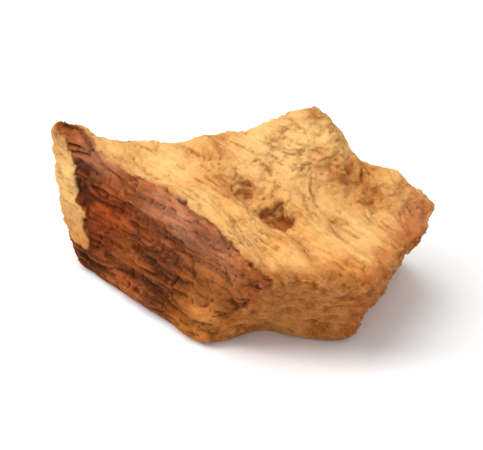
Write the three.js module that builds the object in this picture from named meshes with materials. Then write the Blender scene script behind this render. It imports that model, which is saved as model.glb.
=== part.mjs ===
// A dried cube of chicory root, lying on the flat of its underside. Millimetres, +Z up.
// It is one solid, diced from a thick root: knife cuts on all sides but one, which is the
// bark of the root, and the dished faces, curled corners and wrinkles that drying leaves.
import * as THREE from "three";
import { ImprovedNoise } from "three/addons/math/ImprovedNoise.js";
import { mergeVertices } from "three/addons/utils/BufferGeometryUtils.js";

// Driving dimensions of the block. Each side is a plane: the bearing and the pitch of its
// outward normal in degrees (bearing 0 is +X, 90 is +Y, pitch 90 is straight up), its distance
// from the heart of the block, heartHeight above the surface, and how deep drying has dished it.
const heartHeight = 3.3;
const sides = [
  { name: "top", bearing: 284, pitch: 74, distance: 2.25, dish: 0.45 },
  { name: "bark", bearing: 226, pitch: 8, distance: 2.7, dish: 0.1 },
  { name: "front", bearing: 272, pitch: -22, distance: 3.75, dish: 0.35 },
  { name: "right", bearing: 335, pitch: -19, distance: 5.8, dish: 0.35 },
  { name: "inner", bearing: 56, pitch: 16, distance: 4.55, dish: 0.4 },
  { name: "shoulder", bearing: 80, pitch: 32, distance: 3.65, dish: 0.3 },
  { name: "back", bearing: 98, pitch: -6, distance: 4.9, dish: 0.45 },
  { name: "left", bearing: 184, pitch: -9, distance: 6.7, dish: 0.25 },
  { name: "under", bearing: 0, pitch: -90, distance: heartHeight, dish: 0 },
];
const edgeSharpness = 26; // higher gives crisper edges between the sides
const dishReach = 2.6; // how far in from an edge a side reaches its full dish
const rimHeight = 0.14; // the edges stand proud where the flesh beside them shrank
const rimWidth = 0.55;

// Corners and edges that curled, spread or sank as the block dried: where, how wide, and which
// way they went
const curls = [
  { at: [3.2, 2.4, 6.4], reach: 1.6, move: [0, 0.1, 1.6] },
  { at: [2.9, 2.4, 6.4], reach: 0.8, move: [0, 0.1, 0.45] },
  { at: [4.9, 1.7, 6.1], reach: 1.1, move: [-0.4, -0.2, -0.45] },
  { at: [-7.2, 3.2, 6.9], reach: 1.1, move: [-0.65, 0.1, 1.3] },
  { at: [-5.2, 2.9, 6.2], reach: 1.0, move: [0, -0.1, -0.5] },
  { at: [-3.6, 2.6, 6.4], reach: 2.9, move: [0, -0.1, -1.4] },
  { at: [7.1, -0.8, 5.0], reach: 1.7, move: [0.15, 0, -0.75] },
  { at: [4.9, -4.6, 4.1], reach: 1.6, move: [0.1, -0.1, -0.2] },
  { at: [6.9, -1.4, 3.6], reach: 1.3, move: [0.5, -0.1, 0] },
  { at: [5.7, -3.0, 1.9], reach: 1.2, move: [0.15, -0.1, 0] },
  { at: [0.9, -3.0, 0.1], reach: 0.9, move: [0, 0.5, 0] },
  { at: [-1.1, -3.3, 0.1], reach: 0.8, move: [-0.1, -0.25, 0] },
  { at: [3.6, -2.8, 0.2], reach: 0.9, move: [0.1, -0.3, 0] },
];

// The root that the block came from: the pith runs along the bark side, below the surface
const rootBearing = 315;
const rootRadius = 16;
const ringSpacing = 1.5; // growth rings stand up as ribs on the cut faces
const ringHeight = 0.08;
const barkWrinkleSpacing = 1.25; // wrinkles run along the bark
const barkWrinkleHeight = 0.13;
const barkLip = 0.16; // the bark stands above the flesh beside it
const mottleHeight = 0.16; // slow unevenness of every dried face
const mottleScale = 0.42;

// Pores in the top face: where the wider vessels fell in
const pores = [
  { at: [0.2, 0.0, 5.15], reach: 0.5, depth: 0.4 },
  { at: [1.5, -0.95, 4.75], reach: 0.6, depth: 0.62 },
  { at: [0.9, 1.0, 5.4], reach: 0.42, depth: 0.24 },
];

const flatSpot = 0.07; // anything this close to the surface is flat on it
const sphereDetail = 22; // 10,580 facets
const easing = 2; // passes that even out the facets along the edges
const spread = new THREE.Vector3(6.6, 4.4, 3.6); // facets are spread evenly over a form this long, deep and high

const heart = new THREE.Vector3(0, 0, heartHeight);
const noise = new ImprovedNoise();

function directionOf(bearing, pitch) {
  const b = THREE.MathUtils.degToRad(bearing);
  const p = THREE.MathUtils.degToRad(pitch);
  return new THREE.Vector3(Math.cos(p) * Math.cos(b), Math.cos(p) * Math.sin(b), Math.sin(p));
}

const planes = sides.map((side) => ({ ...side, normal: directionOf(side.bearing, side.pitch) }));
const barkPlane = planes.find((plane) => plane.name === "bark");
const grain = directionOf(rootBearing, 0);
const pith = barkPlane.normal.clone().multiplyScalar(barkPlane.distance - rootRadius).add(heart);

// Distance from the heart to the block's surface along a direction, rounded where sides meet
function reachAlong(direction) {
  let sum = 0;
  for (const plane of planes) {
    const facing = plane.normal.dot(direction);
    if (facing > 0) sum += Math.pow(facing / plane.distance, edgeSharpness);
  }
  return Math.pow(sum, -1 / edgeSharpness);
}

// The side that a point lies on, the side next to it, and how far it is from their edge
function placeOnSides(point) {
  const fromHeart = point.clone().sub(heart);
  const depths = planes.map((plane) => ({ plane, depth: plane.distance - plane.normal.dot(fromHeart) }));
  depths.sort((a, b) => a.depth - b.depth);
  return { plane: depths[0].plane, next: depths[1].plane, edge: depths[1].depth };
}

function smooth(low, high, value) {
  return THREE.MathUtils.smoothstep(value, low, high);
}

function bell(distance, reach) {
  return Math.exp(-Math.pow(distance / reach, 2));
}

// The large shape: each side dished between raised rims, and the corners curled. A rim stands
// out from both of the sides that meet there.
function warp(point, { plane, next, edge }) {
  const warped = point.clone();
  if (plane.name !== "under") {
    const rim = bell(edge, rimWidth);
    const outward = plane.normal.clone().addScaledVector(next.normal, rim).normalize();
    warped.addScaledVector(plane.normal, -plane.dish * smooth(0, dishReach, edge));
    warped.addScaledVector(outward, rimHeight * rim);
  }
  for (const curl of curls) {
    const near = bell(point.distanceTo(new THREE.Vector3(...curl.at)), curl.reach);
    warped.addScaledVector(new THREE.Vector3(...curl.move), near);
  }
  return warped;
}

// How far a point is from the pith, and its place round the root in millimetres of bark
function placeInRoot(point) {
  const out = point.clone().sub(pith);
  out.addScaledVector(grain, -out.dot(grain));
  return { radius: out.length(), round: out.z };
}

// The relief of the dried surface, in millimetres along its normal
function relief(point, plane, edge) {
  const { radius, round } = placeInRoot(point);
  const along = point.dot(grain);
  const slow = noise.noise(point.x * mottleScale, point.y * mottleScale, point.z * mottleScale + 5);
  const wander = noise.noise(point.x * 0.3 + 9, point.y * 0.3, point.z * 0.3);
  if (plane.name === "bark") {
    const fold = Math.sin((2 * Math.PI * round) / barkWrinkleSpacing + 2.6 * wander + 0.5 * Math.sin(along * 0.9));
    const patch = 0.6 + 0.4 * noise.noise(along * 0.5, round * 0.5, 3);
    return (barkWrinkleHeight * fold * patch + barkLip) * smooth(0, 0.6, edge) + mottleHeight * slow;
  }
  const ring = Math.sin((2 * Math.PI * radius) / ringSpacing + 3.2 * wander);
  let height = ringHeight * ring * smooth(0.1, 0.9, edge) + 1.4 * mottleHeight * slow;
  if (plane.name === "top") {
    for (const pore of pores) {
      height -= pore.depth * bell(point.distanceTo(new THREE.Vector3(...pore.at)), pore.reach);
    }
  }
  return plane.name === "under" ? 0 : height;
}

// Moves each point part of the way to the middle of its neighbours
function ease(geometry) {
  const place = geometry.attributes.position;
  const sums = new Float32Array(place.count * 3);
  const counts = new Float32Array(place.count);
  const corners = geometry.index.array;
  for (let i = 0; i < corners.length; i += 1) {
    const next = i % 3 === 2 ? corners[i - 2] : corners[i + 1];
    const from = corners[i];
    sums[3 * from] += place.getX(next);
    sums[3 * from + 1] += place.getY(next);
    sums[3 * from + 2] += place.getZ(next);
    counts[from] += 1;
  }
  const point = new THREE.Vector3();
  const middle = new THREE.Vector3();
  for (let i = 0; i < place.count; i += 1) {
    point.fromBufferAttribute(place, i);
    middle.fromArray(sums, 3 * i).divideScalar(counts[i]);
    place.setXYZ(i, ...point.lerp(middle, 0.5));
  }
}

function rootCubeGeometry() {
  let geometry = new THREE.IcosahedronGeometry(1, sphereDetail);
  geometry.deleteAttribute("normal");
  geometry.deleteAttribute("uv");
  geometry = mergeVertices(geometry, 1e-5);
  const place = geometry.attributes.position;
  const sideOf = [];
  const point = new THREE.Vector3();
  for (let i = 0; i < place.count; i += 1) {
    point.fromBufferAttribute(place, i).multiply(spread).normalize();
    point.multiplyScalar(reachAlong(point)).add(heart);
    sideOf[i] = placeOnSides(point);
    place.setXYZ(i, ...warp(point, sideOf[i]));
  }
  for (let pass = 0; pass < easing; pass += 1) ease(geometry);
  geometry.computeVertexNormals();
  const facing = geometry.attributes.normal;
  const normal = new THREE.Vector3();
  for (let i = 0; i < place.count; i += 1) {
    point.fromBufferAttribute(place, i);
    normal.fromBufferAttribute(facing, i);
    point.addScaledVector(normal, relief(point, sideOf[i].plane, sideOf[i].edge));
    if (point.z < flatSpot) point.z = 0;
    place.setXYZ(i, ...point);
  }
  return geometry;
}

// The origin is under the middle of the block, on the surface that it lies on
function centreOnFootprint(geometry) {
  geometry.computeBoundingBox();
  const middle = geometry.boundingBox.getCenter(new THREE.Vector3());
  geometry.translate(-middle.x, -middle.y, 0);
  geometry.computeVertexNormals();
  return geometry;
}

const driedRoot = new THREE.MeshStandardMaterial({ color: 0xe3a860, roughness: 0.85, metalness: 0 });

const rootCube = new THREE.Mesh(centreOnFootprint(rootCubeGeometry()), driedRoot);
rootCube.name = "root_cube";

const object = new THREE.Group();
object.add(rootCube);

export default object;
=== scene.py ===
# One dried cube of chicory root on a pale table, under soft studio light
import math

import bpy
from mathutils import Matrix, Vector


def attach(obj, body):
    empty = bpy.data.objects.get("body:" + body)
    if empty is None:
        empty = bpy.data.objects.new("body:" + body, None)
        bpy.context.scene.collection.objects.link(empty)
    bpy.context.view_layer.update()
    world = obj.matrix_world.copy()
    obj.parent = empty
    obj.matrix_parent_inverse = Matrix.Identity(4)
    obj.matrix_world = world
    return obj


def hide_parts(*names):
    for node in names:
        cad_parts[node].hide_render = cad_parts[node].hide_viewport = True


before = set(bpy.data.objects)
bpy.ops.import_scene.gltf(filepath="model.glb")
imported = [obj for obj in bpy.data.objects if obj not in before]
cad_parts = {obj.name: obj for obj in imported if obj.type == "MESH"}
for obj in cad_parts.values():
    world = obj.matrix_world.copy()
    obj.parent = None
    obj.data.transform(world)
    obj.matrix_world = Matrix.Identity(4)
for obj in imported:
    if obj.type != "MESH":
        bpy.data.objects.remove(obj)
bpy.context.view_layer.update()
print("frame loaded")

millimetre = 0.001
up = (0, 0, 1)

# The block as it was cut from the root, in millimetres. Each side has the bearing and pitch of
# its outward normal and its distance from the heart. The grain runs level along the bark side,
# so the pith lies behind that, one root radius in
block = {
    "heart": (-0.172, -0.308, 3.3),
    "bark": (226, 8, 2.7),
    "front": (272, -22, 3.75),
    "right": (335, -19, 5.8),
    "left": (184, -9, 6.7),
    "grainBearing": 315,
    "rootRadius": 16,
}


def directionOf(bearing, pitch=0):
    b = math.radians(bearing)
    p = math.radians(pitch)
    return Vector((math.cos(p) * math.cos(b), math.cos(p) * math.sin(b), math.sin(p)))


heart = Vector(block["heart"])
grain = directionOf(block["grainBearing"])
pith = heart + directionOf(*block["bark"][:2]) * (block["bark"][2] - block["rootRadius"])


# A socket of a node tree that can be used in sums, in geometry nodes and in shaders alike
class Wire:
    def __init__(self, tree, socket=None):
        self.tree = tree
        self.socket = socket

    def pick(self, sockets, name):
        if isinstance(name, int):
            return sockets[name]
        return next(s for s in sockets if s.name == name and s.enabled)

    # Any node, from its type, its settings, and the values or links of its sockets
    def node(self, kind, settings=None, inputs=None, output=0):
        made = self.tree.nodes.new(kind)
        for name, value in (settings or {}).items():
            setattr(made, name, value)
        for name, value in (inputs or {}).items():
            socket = self.pick(made.inputs, name)
            if isinstance(value, Wire):
                self.tree.links.new(value.socket, socket)
            elif socket.type == "VECTOR" and isinstance(value, (int, float)):
                socket.default_value = (value, value, value)
            elif socket.type == "RGBA":
                socket.default_value = (*value, 1)
            else:
                socket.default_value = value
        return Wire(self.tree, None if output is None else self.pick(made.outputs, output))

    def combine(self, operation, other, swapped=False):
        pair = (other, self) if swapped else (self, other)
        vectors = [v for v in pair if isinstance(v, (tuple, Vector))]
        vectors += [v for v in pair if isinstance(v, Wire) and v.socket.type == "VECTOR"]
        kind = "ShaderNodeVectorMath" if vectors else "ShaderNodeMath"
        return self.node(kind, {"operation": operation}, {0: pair[0], 1: pair[1]})

    def __add__(self, other):
        return self.combine("ADD", other)

    def __radd__(self, other):
        return self.combine("ADD", other, True)

    def __sub__(self, other):
        return self.combine("SUBTRACT", other)

    def __rsub__(self, other):
        return self.combine("SUBTRACT", other, True)

    def __mul__(self, other):
        return self.combine("MULTIPLY", other)

    def __rmul__(self, other):
        return self.combine("MULTIPLY", other, True)

    def __neg__(self):
        return self * -1

    def __abs__(self):
        return self.node("ShaderNodeMath", {"operation": "ABSOLUTE"}, {0: self})

    def most(self, other):
        return self.combine("MAXIMUM", other)

    def sine(self):
        return self.node("ShaderNodeMath", {"operation": "SINE"}, {0: self})

    def dot(self, other):
        settings = {"operation": "DOT_PRODUCT"}
        return self.node("ShaderNodeVectorMath", settings, {0: self, 1: other}, "Value")

    def length(self):
        return self.node("ShaderNodeVectorMath", {"operation": "LENGTH"}, {0: self}, "Value")

    def step(self, low, high):  # 0 below low, 1 above high, smooth between
        ends = {"Value": self, "From Min": low, "From Max": high}
        return self.node("ShaderNodeMapRange", {"interpolation_type": "SMOOTHSTEP"}, ends)

    def bell(self, point, reach):  # 1 at the point, fading to 0 past its reach
        far = (self - point).length() * (1 / reach)
        return self.node("ShaderNodeMath", {"operation": "EXPONENT"}, {0: far * far * -1})

    def noise(self, scale, detail=2.0, roughness=0.5):  # mostly between -0.5 and 0.5
        inputs = {"Vector": self, "Scale": scale, "Detail": detail, "Roughness": roughness}
        return self.node("ShaderNodeTexNoise", {}, inputs, 0) * 2 - 1

    def drifted(self, scale, amount):  # the place moved about, so that round shapes turn ragged
        inputs = {"Vector": self, "Scale": scale, "Detail": 3.0, "Roughness": 0.6}
        drift = self.node("ShaderNodeTexNoise", {}, inputs, "Color")
        return self + (drift - (0.5, 0.5, 0.5)) * amount

    def cells(self, scale):  # distance to the nearest of scattered points
        settings = {"feature": "F1", "distance": "EUCLIDEAN"}
        return self.node("ShaderNodeTexVoronoi", settings, {"Vector": self, "Scale": scale}, "Distance")

    def blend(self, without, fully):  # a colour, by how much of the second there is
        inputs = {"Factor": self, "A": without, "B": fully}
        return self.node("ShaderNodeMix", {"data_type": "RGBA"}, inputs, "Result")


# How deep a point lies under one of the block's sides
def depthUnder(place, side):
    bearing, pitch, distance = block[side]
    return distance - (place - heart).dot(directionOf(bearing, pitch))


# Where a point is in the root: how far from the pith, and a place for the root's own
# patterns, whose last number runs along the grain
def placeInRoot(place):
    out = place - pith
    radius = (out - out.dot(grain) * grain).length()
    parts = {"X": radius, "Y": place.dot(up), "Z": place.dot(grain)}
    return radius, place.node("ShaderNodeCombineXYZ", {}, parts)


# One of the root's own patterns. Its stretch is how fast it changes out from the pith, upwards
# and along the grain
def rootNoise(wood, pattern, sway=None):
    stretch, scale, detail, roughness = pattern
    place = wood * stretch
    if sway is not None:
        place = place + sway
    return place.noise(scale, detail, roughness)


cube = {
    "voxel": 0.139,             # millimetres between the points before the last subdivision
    "mergeDistance": 0.002,
    "fibreHeight": 0.15,
    "ringSpacing": 0.62,
    "ringWander": 7,
    "ringHeight": 0.03,
    "lumpHeight": 0.34,
    "creaseSway": 0.9,
    "creaseDepth": 0.1,         # creases that follow the grain where the flesh shrank
    "grooveDepth": 0.07,
    "rayHeight": 0.3,
    "crumbHeight": 0.06,
    "vesselStretch": (1, 1, 0.25),
    "vesselScale": 1.9,
    "vesselDepth": 0.1,
    "rimPasses": 40,            # higher makes the proud cut edges wider
    "rimHeight": 0.13,
    "foldSway": 0.8,
    "foldDepth": 0.19,
    "fineWrinkleHeight": 0.17,
    "crossCrackDepth": 0.05,
    "barkStep": 0.03,           # the skin stands this far above the flesh beside it
    "barkDepth": (0.22, 0.42),  # between these depths under its side, bark gives way to flesh
    "bareWidth": (0.6, 0.85),   # how wide the bare strip at the left end is, and its heights
    "bareFrom": (1.0, 1.4),
    "bareTo": (5.4, 5.7),
    "endGrain": (0.4, 0.9),     # a face is end grain as it turns to the grain by this much
    "fade": (0.02, 0.5),        # the relief dies out between these heights, down to the table
    "nearPasses": 5,            # how wide the hollows are that the finish darkens
    "farPasses": 45,
    "lumps": (0.65, 3, 0.5),    # scale, detail, roughness
    "crumb": (4.5, 4, 0.65),
    "barkCrumb": (5, 3, 0.7),
    "fibres": ((1, 1, 0.13), 3.2, 5, 0.62),         # stretch, scale, detail, roughness
    "creases": ((1, 1, 0.16), 0.85, 3, 0.5),
    "grooves": ((1, 1, 0.07), 2.3, 3, 0.55),
    "rays": ((0.16, 1, 0.8), 2.8, 5, 0.68),
    "folds": ((1, 1, 0.13), 1.15, 3, 0.5),
    "fineWrinkles": ((1, 1, 0.14), 3.4, 4, 0.6),
    "crossCracks": ((0.4, 0.5, 2.4), 1.7, 2, 0.5),
    "raggedness": (2.4, 1.7),   # of the hollows' edges: scale, amount
    "hollows": [                # where the top fell in: place, reach, depth
        ((-1.9, 1.4, 5.2), 0.50, 0.12),
        ((-1.1, 0.9, 5.2), 0.45, 0.18),
        ((-0.5, 0.4, 4.9), 0.42, 0.18),
        ((0.2, -0.1, 4.7), 0.42, 0.20),
        ((0.8, -0.6, 4.4), 0.40, 0.14),
        ((1.3, -1.1, 4.2), 0.50, 0.42),
        ((1.1, 0.2, 5.4), 0.42, 0.16),
        ((4.3, -0.2, 5.1), 0.60, 0.14),
        ((5.4, -0.7, 4.8), 0.50, 0.10),
        ((-0.4, -3.9, 3.0), 0.45, 0.20),
    ],
}


# The bark is a skin with an uneven edge, seen on the bark side and as a line beside it. It has
# come off along the left end
def barkMask(place):
    ragged = place.noise(1.1, 3, 0.6) * 0.4 + place.noise(4, 2) * 0.12
    mask = 1 - (depthUnder(place, "bark") + ragged).step(*cube["barkDepth"])
    high = place.dot(up) + ragged
    atEnd = 1 - (depthUnder(place, "left") + ragged).step(*cube["bareWidth"])
    bare = atEnd * high.step(*cube["bareFrom"]) * (1 - high.step(*cube["bareTo"]))
    return mask * (1 - bare)


def ringLines(place, radius):
    wander = place.noise(0.4, 1) * cube["ringWander"]
    return (radius * (2 * math.pi / cube["ringSpacing"]) + wander).sine()


# Lines along the grain where the flesh creased as it shrank
def creaseLines(place, wood):
    sway = place.noise(0.6, 2) * cube["creaseSway"]
    lines = 1 - abs(rootNoise(wood, cube["creases"], sway)).step(0.0, 0.2)
    return lines * place.noise(0.5, 2).step(-0.15, 0.2)


# The grooves between the bundles of fibres
def fibreGrooves(place, wood):
    grooves = 1 - abs(rootNoise(wood, cube["grooves"])).step(0.0, 0.1)
    return grooves * place.noise(0.9, 2).step(-0.3, 0.2)


# Open vessels, which end on the faces that are cut across the grain
def vessels(place, wood):
    holes = 1 - (wood * cube["vesselStretch"]).cells(cube["vesselScale"]).step(0.06, 0.2)
    return holes * place.noise(0.8, 1).step(-0.15, 0.2)


# The creases of the shrunken bark, which run along the root
def barkFolds(place, wood):
    sway = place.noise(0.45, 2) * cube["foldSway"]
    return 1 - abs(rootNoise(wood, cube["folds"], sway)).step(0.0, 0.3)


# The cut flesh: fibres and grooves where the grain lies in the face, and rays, crumb and open
# vessels where the grain ends in it
def fleshHeight(place, wood, radius, endGrain):
    fibres = rootNoise(wood, cube["fibres"]) * cube["fibreHeight"]
    rings = ringLines(place, radius) * (place.noise(0.7, 1) + 0.6) * cube["ringHeight"]
    lumps = place.noise(*cube["lumps"]) * cube["lumpHeight"]
    crumb = place.noise(*cube["crumb"]) * (endGrain * 1.5 + 1) * cube["crumbHeight"]
    grooves = fibreGrooves(place, wood) * cube["grooveDepth"]
    height = (fibres - grooves) * (1 - endGrain * 0.5) + rings + lumps + crumb
    height = height + rootNoise(wood, cube["rays"]) * endGrain * cube["rayHeight"]
    height = height - creaseLines(place, wood) * cube["creaseDepth"]
    height = height - vessels(place, wood) * (endGrain * 0.8 + 0.2) * cube["vesselDepth"]
    ragged = place.drifted(*cube["raggedness"])
    for point, reach, depth in cube["hollows"]:
        away = ragged - point
        away = (away - away.dot(grain) * 0.25 * grain).length() * (1 / reach)
        height = height - (1 - away.step(0.05, 1.45)) * depth
    return height


def barkHeight(place, wood):
    fine = rootNoise(wood, cube["fineWrinkles"]) * cube["fineWrinkleHeight"]
    cracks = rootNoise(wood, cube["crossCracks"]).step(0.12, 0.3) * cube["crossCrackDepth"]
    crumb = place.noise(*cube["barkCrumb"]) * cube["crumbHeight"]
    return fine - barkFolds(place, wood) * cube["foldDepth"] - cracks + crumb + cube["barkStep"]


# How far each point lies below the surface round it: below zero on a ridge
def hollowness(place, normal, passes):
    inputs = {"Value": place, "Iterations": passes}
    around = place.node("GeometryNodeBlurAttribute", {"data_type": "FLOAT_VECTOR"}, inputs)
    return (around - place).dot(normal)


def stored(shape, name, value):
    settings = {"data_type": "FLOAT", "domain": "POINT"}
    inputs = {"Geometry": shape, "Name": name, "Value": value}
    return shape.node("GeometryNodeStoreNamedAttribute", settings, inputs)


# Raises the relief along the surface's normal, and keeps what the finish needs as attributes
def reliefTree():
    tree = bpy.data.node_groups.new("dried relief", "GeometryNodeTree")
    tree.interface.new_socket("Geometry", in_out="INPUT", socket_type="NodeSocketGeometry")
    tree.interface.new_socket("Geometry", in_out="OUTPUT", socket_type="NodeSocketGeometry")
    shape = Wire(tree).node("NodeGroupInput")
    place = shape.node("GeometryNodeInputPosition")
    normal = shape.node("GeometryNodeInputNormal")
    radius, wood = placeInRoot(place)
    bark = barkMask(place)
    endGrain = abs(normal.dot(grain)).step(*cube["endGrain"])
    shape = stored(shape, "endGrain", endGrain)
    height = fleshHeight(place, wood, radius, endGrain) * (1 - bark)
    height = height + barkHeight(place, wood) * bark
    rims = (-hollowness(place, normal, cube["rimPasses"])).step(0.03, 0.2)
    height = height + rims * (place.noise(1.6, 2) + 0.6) * cube["rimHeight"]
    height = height * place.dot(up).step(*cube["fade"])
    shape = stored(shape, "bark", bark)
    shape = shape.node("GeometryNodeSetPosition", {}, {"Geometry": shape, "Offset": normal * height})
    onTable = place.most((-100, -100, 0))
    shape = shape.node("GeometryNodeSetPosition", {}, {"Geometry": shape, "Position": onTable})
    shape = stored(shape, "nearHollow", hollowness(place, normal, cube["nearPasses"]))
    shape = stored(shape, "farHollow", hollowness(place, normal, cube["farPasses"]))
    shape.node("NodeGroupOutput", {}, {"Geometry": shape}, None)
    return tree


def selectOnly(piece):
    bpy.ops.object.select_all(action="DESELECT")
    piece.select_set(True)
    bpy.context.view_layer.objects.active = piece


def applyModifier(piece, name, kind, settings):
    modifier = piece.modifiers.new(name, kind)
    for key, value in settings.items():
        setattr(modifier, key, value)
    bpy.ops.object.modifier_apply(modifier=name)


def resized(piece, factor):
    piece.scale = (factor, factor, factor)
    bpy.ops.object.transform_apply(location=False, rotation=False, scale=True)


# The fine block starts as a copy of the plain one, a thousand times as large so that one unit
# is a millimetre, with its loose triangles merged and evened out
def makeCube():
    piece = bpy.data.objects.new("chicoryCube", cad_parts["root_cube"].data.copy())
    bpy.context.scene.collection.objects.link(piece)
    selectOnly(piece)
    resized(piece, 1 / millimetre)
    bpy.ops.object.mode_set(mode="EDIT")
    bpy.ops.mesh.select_all(action="SELECT")
    bpy.ops.mesh.remove_doubles(threshold=cube["mergeDistance"])
    bpy.ops.mesh.normals_make_consistent(inside=False)
    bpy.ops.object.mode_set(mode="OBJECT")
    applyModifier(piece, "round", "SUBSURF", {"levels": 1, "render_levels": 1})
    applyModifier(piece, "even", "REMESH", {"mode": "VOXEL", "voxel_size": cube["voxel"]})
    applyModifier(piece, "fine", "SUBSURF", {"levels": 1, "render_levels": 1})
    print("block evened out:", len(piece.data.polygons), "faces")
    applyModifier(piece, "relief", "NODES", {"node_group": reliefTree()})
    resized(piece, millimetre)
    bpy.ops.object.shade_smooth()
    print("relief raised")
    return piece


finish = {
    "honey": (252, 189, 112),       # the flesh, as red, green and blue of 255
    "pale": (255, 208, 134),        # the palest flesh and streaks, painted highlight on rims, ridges and some patches, and the flesh a little under the bark
    "tan": (228, 154, 80),
    "toastAndShade": (168, 89, 28),         # darker brown of veins, rings and rims, and painted shade in hollows, pores and on the front
    "pit": (108, 50, 18),
    "umber": (126, 58, 17),         # the bark
    "russet": (192, 104, 46),
    "mauve": (224, 152, 112),
    "char": (50, 17, 6),
    "rust": (174, 70, 10),
    "ochre": (214, 126, 44),
    "roughFlesh": 0.82,
    "roughBark": 0.7,
    "roughGrit": 0.12,
    "shine": 0.12,
    "subsurface": 0.1,
    "subsurfaceColour": (1.0, 0.5, 0.25),
    "subsurfaceDepth": 0.00015,     # in metres
    "bumpDepth": 0.00009,
    "gritBump": 0.5,
    "frontShadeBrown": 0.48,             # how much browner the front is, partly painted shade where it faces down from the lights, and how much more near the bark
    "frontShadeBrownNearBark": 0.25,
    "blotches": (2.0, 5, 0.72),     # scale, detail, roughness
    "mottle": (1.1, 4, 0.6),
    "scuffs": (2.6, 4, 0.7),
    "grit": (14, 4, 0.7),
    "streaks": ((1, 1, 0.08), 3.2, 5, 0.72),        # stretch, scale, detail, roughness
    "barkStreaks": ((1, 1, 0.12), 2.6, 5, 0.72),
    "dust": ((1, 1, 0.4), 6, 4, 0.75),
    "bumpFibres": ((1, 1, 0.07), 6, 5, 0.75),
    "fleshTints": {                 # what shades the flesh: colour, strength
        "tanStreaks": ("tan", 0.7),
        "paleStreaks": ("pale", 0.7),
        "rings": ("toastAndShade", 0.25),
        "band": ("honey", 0.6),
        "end": ("rust", 0.5),
        "line": ("toastAndShade", 0.55),
        "paleRays": ("pale", 0.45),
        "darkRays": ("toastAndShade", 0.5),
        "darkBlotches": ("pit", 0.5),
        "tanBlotches": ("tan", 0.5),
        "grooves": ("toastAndShade", 0.35),
        "mottle": ("toastAndShade", 0.3),
        "creases": ("toastAndShade", 0.15),
        # Painted shade in the hollows and painted highlight on the ridges
        "farHollowShade": ("toastAndShade", 0.4),
        "nearHollowShade": ("rust", 0.5),
        "farRidgeHighlight": ("pale", 0.35),
        "nearRidgeHighlight": ("pale", 0.3),
        "grit": ("toastAndShade", 0.25),
    },
    "barkTints": {
        "charred": ("char", 0.3),
        "scuffs": ("ochre", 0.5),
        "dust": ("mauve", 0.4),
        "folds": ("char", 0.4),
        # Painted shade in the bark's hollows and painted highlight on its ridges
        "nearHollowShade": ("char", 0.6),
        "farHollowShade": ("char", 0.5),
        "ridgeHighlight": ("russet", 0.4),
    },
    "raggedness": (1.4, 1.4),       # of the patches' edges: scale, amount
    "patches": [                    # place, reach, colour, strength
        ((-2.9, 1.1, 4.9), 1.2, "pale", 0.9),
        ((-1.5, -1.3, 5.4), 0.8, "pale", 0.7),
        ((0.2, -2.6, 4.8), 0.8, "pale", 0.4),
        # Painted light: these two pale patches lighten the flank below the peak, which the lights only
        # graze
        ((1.8, 1.2, 6.3), 1.9, "pale", 0.85),
        ((1.4, 0.9, 6.0), 1.3, "pale", 0.7),
        ((2.6, -0.3, 4.9), 1.0, "pale", 0.4),
        ((6.5, -1.7, 3.7), 0.7, "rust", 0.6),
        ((6.0, -2.4, 3.0), 1.0, "rust", 0.8),
        ((5.3, -3.4, 1.6), 1.0, "rust", 0.65),
        ((3.8, 0.1, 5.4), 0.8, "toastAndShade", 0.6),
        ((5.0, -0.2, 4.9), 0.7, "toastAndShade", 0.5),
        ((6.0, -0.6, 4.5), 0.6, "toastAndShade", 0.4),
        ((6.6, -0.6, 4.3), 0.8, "mauve", 0.4),
        ((4.2, -1.9, 4.4), 1.1, "pale", 0.65),
        ((3.1, 1.9, 7.4), 0.6, "toastAndShade", 0.8),
        # Painted light: the left end, turned from the lights, lightened to pale
        ((-6.8, 2.4, 4.0), 1.8, "pale", 0.9),
        ((-6.9, 3.1, 5.9), 0.8, "umber", 1.0),
        ((-0.9, -4.0, 1.0), 1.3, "ochre", 0.7),
        ((-0.5, -4.0, 3.0), 1.1, "rust", 0.8),
        # Darker brown in the pores, partly painted shade
        ((1.3, -1.1, 4.2), 0.6, "toastAndShade", 0.8),
        ((0.2, -0.1, 4.7), 0.5, "toastAndShade", 0.45),
        ((-0.9, 0.7, 5.2), 0.7, "toastAndShade", 0.4),
    ],
    "barkPatches": [
        ((-5.3, 1.7, 5.4), 1.1, "mauve", 0.85),
        ((-2.4, -1.9, 5.0), 1.0, "mauve", 0.85),
        ((-0.8, -3.1, 4.2), 1.0, "mauve", 0.7),
        ((-5.3, 0.9, 3.0), 1.6, "rust", 0.9),
        ((-6.1, 1.8, 3.7), 0.9, "char", 0.85),
        # Painted shade at the foot of the bark, by the table
        ((-6.1, 1.0, 0.9), 1.3, "char", 0.9),
        ((-3.7, -0.6, 3.6), 0.8, "char", 0.15),
        ((-3.3, -0.9, 5.0), 0.8, "mauve", 0.45),
        ((-2.6, -1.7, 3.0), 0.8, "char", 0.2),
        # Painted shade at the foot of the bark, by the table
        ((-2.9, -1.9, 1.5), 1.4, "char", 0.85),
        ((-4.5, -0.1, 2.1), 0.7, "ochre", 0.2),
        ((-1.0, -3.3, 3.0), 1.0, "ochre", 0.5),
        ((-1.3, -3.5, 0.9), 1.5, "ochre", 1.0),
        ((-1.2, -3.7, 1.4), 0.9, "tan", 0.7),
        ((-0.6, -3.9, 2.4), 0.6, "char", 0.4),
        ((-6.8, 3.1, 5.9), 0.8, "umber", 0.9),
    ],
}


def shade(name):  # the finish's colour as the shader's linear values
    parts = [c / 255 for c in finish[name]]
    return tuple(c / 12.92 if c < 0.04 else ((c + 0.055) / 1.055) ** 2.4 for c in parts)


def tinted(colour, mask, tint):
    name, strength = tint
    return (mask * strength).blend(colour, shade(name))


def withPatches(colour, place, patches):
    ragged = place.drifted(*finish["raggedness"])
    for point, reach, name, strength in patches:
        colour = tinted(colour, ragged.bell(point, reach), (name, strength))
    return colour
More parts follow.
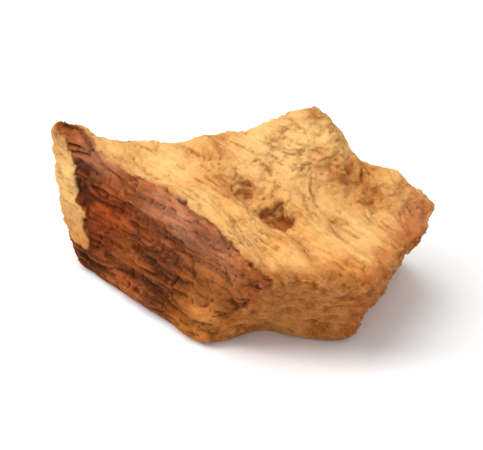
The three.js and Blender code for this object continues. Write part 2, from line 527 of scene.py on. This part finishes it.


# The flesh: first its tone over whole regions, with painted shade on the front and painted light in
# some patches, then what follows the fine relief, with painted shade in hollows and painted highlight
# on ridges
def fleshColour(place, wood, radius, kept):
    tints = finish["fleshTints"]
    slow = place.noise(0.45, 3, 0.55)
    colour = slow.step(-0.2, 0.3).blend(shade("honey"), shade("tan"))
    streaks = rootNoise(wood, finish["streaks"])
    colour = tinted(colour, streaks.step(0.0, 0.35), tints["tanStreaks"])
    colour = tinted(colour, (-streaks).step(0.0, 0.35), tints["paleStreaks"])
    rings = ringLines(place, radius).step(0.3, 1.0) * place.noise(0.7, 1).step(-0.1, 0.3)
    colour = tinted(colour, rings, tints["rings"])
    underBark = depthUnder(place, "bark") + slow * 0.5
    colour = tinted(colour, 1 - underBark.step(0.6, 1.6), tints["band"])
    # Partly painted shade: the front, turned down from the lights, is browned, more near the bark
    low = 1 - (depthUnder(place, "front") + slow * 0.6).step(0.15, 0.9)
    nearBark = 1 - underBark.step(0.3, 3.5)
    brown = finish["frontShadeBrown"] + nearBark * finish["frontShadeBrownNearBark"]
    colour = (low * brown).blend(colour, shade("toastAndShade"))
    # The right end turned darker and redder, partly its tone and partly painted shade on the side away
    # from the lights
    end = 1 - (depthUnder(place, "right") + slow * 0.6).step(0.1, 0.9)
    colour = tinted(colour, end, tints["end"])
    colour = tinted(colour, 1 - underBark.step(0.15, 0.7), tints["line"])
    colour = withPatches(colour, place, finish["patches"])
    rays = rootNoise(wood, cube["rays"])
    # Away from the front's painted shade, where pale rays and the painted highlight on ridges are kept
    awayFromFront = 1 - low * 0.7
    colour = tinted(colour, rays.step(0.0, 0.3) * kept["endGrain"] * awayFromFront, tints["paleRays"])
    colour = tinted(colour, (-rays).step(0.0, 0.3) * kept["endGrain"], tints["darkRays"])
    blotches = place.noise(*finish["blotches"])
    colour = tinted(colour, blotches.step(0.0, 0.3) * low, tints["darkBlotches"])
    colour = tinted(colour, (-blotches).step(0.02, 0.3) * low, tints["tanBlotches"])
    colour = tinted(colour, fibreGrooves(place, wood), tints["grooves"])
    mottle = place.noise(*finish["mottle"]).step(0.12, 0.4)
    colour = tinted(colour, mottle, tints["mottle"])
    colour = tinted(colour, creaseLines(place, wood), tints["creases"])
    far = kept["farHollow"]
    near = kept["nearHollow"]
    # Painted shade in the hollows and painted highlight on the ridges
    colour = tinted(colour, far.step(0.08, 0.3), tints["farHollowShade"])
    colour = tinted(colour, near.step(0.01, 0.05), tints["nearHollowShade"])
    colour = tinted(colour, (-far).step(0.04, 0.25) * awayFromFront, tints["farRidgeHighlight"])
    colour = tinted(colour, (-near).step(0.015, 0.06) * awayFromFront, tints["nearRidgeHighlight"])
    # Painted shade: the open vessels darkened to pit brown, most where the grain ends in the face
    holes = vessels(place, wood) * (kept["endGrain"] * 0.6 + 0.12)
    return holes.blend(colour, shade("pit"))


def barkColour(place, wood, kept):
    tints = finish["barkTints"]
    streaks = rootNoise(wood, finish["barkStreaks"])
    colour = streaks.step(-0.25, 0.25).blend(shade("umber"), shade("russet"))
    colour = tinted(colour, place.noise(0.8, 3).step(0.0, 0.35), tints["charred"])
    scuffs = place.noise(*finish["scuffs"]).step(0.15, 0.4)
    colour = tinted(colour, scuffs, tints["scuffs"])
    dust = rootNoise(wood, finish["dust"]).step(0.05, 0.35)
    colour = tinted(colour, dust, tints["dust"])
    colour = withPatches(colour, place, finish["barkPatches"])
    colour = tinted(colour, barkFolds(place, wood), tints["folds"])
    # Painted shade in the bark's hollows, and a painted highlight on its ridges
    colour = tinted(colour, kept["nearHollow"].step(0.0, 0.05), tints["nearHollowShade"])
    colour = tinted(colour, kept["farHollow"].step(0.0, 0.2), tints["farHollowShade"])
    return tinted(colour, (-kept["nearHollow"]).step(0.005, 0.05), tints["ridgeHighlight"])


def driedRoot():
    material = bpy.data.materials.new("driedRoot")
    material.use_nodes = True
    tree = material.node_tree
    tree.nodes.clear()
    start = Wire(tree)
    place = start.node("ShaderNodeTexCoord", {}, {}, "Object") * (1 / millimetre)
    radius, wood = placeInRoot(place)
    kept = {}
    for name in ("bark", "endGrain", "nearHollow", "farHollow"):
        kept[name] = start.node("ShaderNodeAttribute", {"attribute_name": name}, {}, "Fac")
    bark = kept["bark"].step(0.2, 0.8)
    colour = bark.blend(fleshColour(place, wood, radius, kept), barkColour(place, wood, kept))
    grit = place.noise(*finish["grit"])
    colour = tinted(colour, grit.step(0.0, 0.5), finish["fleshTints"]["grit"])
    smoother = finish["roughBark"] - finish["roughFlesh"]
    rough = bark * smoother + finish["roughFlesh"] + grit * finish["roughGrit"]
    relief = rootNoise(wood, finish["bumpFibres"]) + grit * finish["gritBump"]
    inputs = {"Height": relief, "Strength": 1.0, "Distance": finish["bumpDepth"]}
    bump = start.node("ShaderNodeBump", {}, inputs)
    shader = start.node("ShaderNodeBsdfPrincipled", {}, {
        "Base Color": colour,
        "Roughness": rough,
        "Normal": bump,
        "IOR": 1.45,
        "Specular IOR Level": finish["shine"],
        "Subsurface Weight": finish["subsurface"],
        "Subsurface Radius": finish["subsurfaceColour"],
        "Subsurface Scale": finish["subsurfaceDepth"],
    })
    start.node("ShaderNodeOutputMaterial", {}, {"Surface": shader}, None)
    return material


cubePiece = makeCube()
cubePiece.data.materials.clear()
cubePiece.data.materials.append(driedRoot())
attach(cubePiece, "root")
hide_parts("root_cube")
print("piece finished")

studio = {
    "cameraBearing": 270,
    "cameraHeight": 38,             # above the table, in degrees
    "lens": 180,
    "distance": 0.092,
    "aim": (0, 0, 0.0032),
    "nearClip": 0.005,
    "farClip": 20,
    "floorSize": 4,
    "floorWhite": 0.86,
    "floorRough": 0.9,
    "floorShine": 0.2,
    "sky": 0.74,
    "lights": [                     # name, bearing, height, distance, size, power
        ("overhead", 190, 76, 0.20, 0.16, 0.235),
        ("key", 184, 42, 0.22, 0.08, 0.215),
        ("fill", 300, 30, 0.25, 0.15, 0.025),
    ],
}


# Turns a light or the camera to face what the studio is aimed at
def aimed(thing):
    back = thing.location - Vector(studio["aim"])
    thing.rotation_euler = back.to_track_quat("Z", "Y").to_euler()


def makeFloor():
    bpy.ops.mesh.primitive_plane_add(size=studio["floorSize"], location=(0, 0, 0))
    floor = bpy.context.object
    floor.name = "table"
    paper = bpy.data.materials.new("whitePaper")
    paper.use_nodes = True
    shader = paper.node_tree.nodes["Principled BSDF"]
    shader.inputs["Base Color"].default_value = (studio["floorWhite"],) * 3 + (1,)
    shader.inputs["Roughness"].default_value = studio["floorRough"]
    shader.inputs["Specular IOR Level"].default_value = studio["floorShine"]
    floor.data.materials.append(paper)


def makeLights():
    world = bpy.data.worlds.new("sky")
    world.use_nodes = True
    sky = world.node_tree.nodes["Background"]
    sky.inputs["Color"].default_value = (1, 1, 1, 1)
    sky.inputs["Strength"].default_value = studio["sky"]
    bpy.context.scene.world = world
    for name, bearing, height, distance, size, power in studio["lights"]:
        bpy.ops.object.light_add(type="AREA", location=directionOf(bearing, height) * distance)
        light = bpy.context.object
        light.name = name
        light.data.shape = "DISK"
        light.data.size = size
        light.data.energy = power
        aimed(light)


def makeCamera():
    back = directionOf(studio["cameraBearing"], studio["cameraHeight"]) * studio["distance"]
    bpy.ops.object.camera_add(location=Vector(studio["aim"]) + back)
    camera = bpy.context.object
    camera.data.lens = studio["lens"]
    camera.data.clip_start = studio["nearClip"]
    camera.data.clip_end = studio["farClip"]
    aimed(camera)
    bpy.context.scene.camera = camera


makeFloor()
makeLights()
makeCamera()
bpy.context.scene.view_settings.view_transform = "Standard"
print("studio set")
